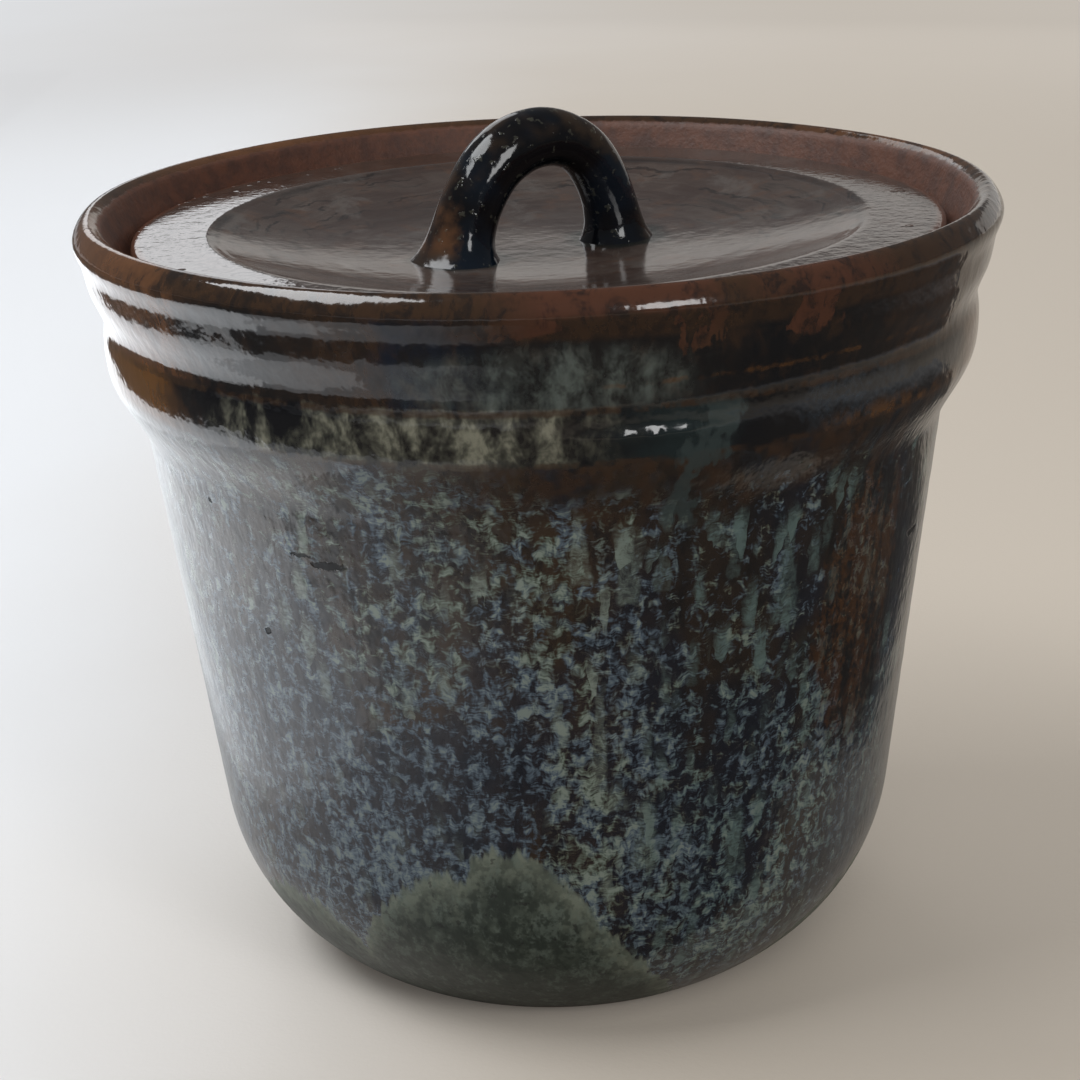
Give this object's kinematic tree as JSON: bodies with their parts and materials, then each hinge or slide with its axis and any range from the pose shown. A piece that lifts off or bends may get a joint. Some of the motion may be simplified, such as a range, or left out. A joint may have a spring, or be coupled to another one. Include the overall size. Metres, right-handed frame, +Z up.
{
  "type": "lidded stoneware jar",
  "caption": "Round thrown stoneware jar with a rounded heel, a ringed flared rim and a sunken dished lid that lifts out by an arched coil handle.",
  "frame": {"origin": "on the table, at the centre of the foot ring", "axes": "+Z up along the jar's axis and along the way the lid lifts, X along the span of the handle"},
  "size_m": [0.165, 0.165, 0.1552],
  "materials": {
    "jar_glaze": "glossy dark glaze with blue-grey flecks and brown rings over stoneware",
    "lid_glaze": "glossy thin brown-grey glaze over stoneware",
    "handle_glaze": "glossy black glaze that breaks brown on the edges"
  },
  "bodies": {
    "jar": {"jar_body": "jar_glaze"},
    "lid": {"lid_disc": "lid_glaze", "lid_handle": "handle_glaze"}
  },
  "joints": [
    {"name": "lid_lift", "type": "slide", "parent": "jar", "child": "lid", "axis": [0, 0, 1], "range_m": [0, 0.1]}
  ]
}
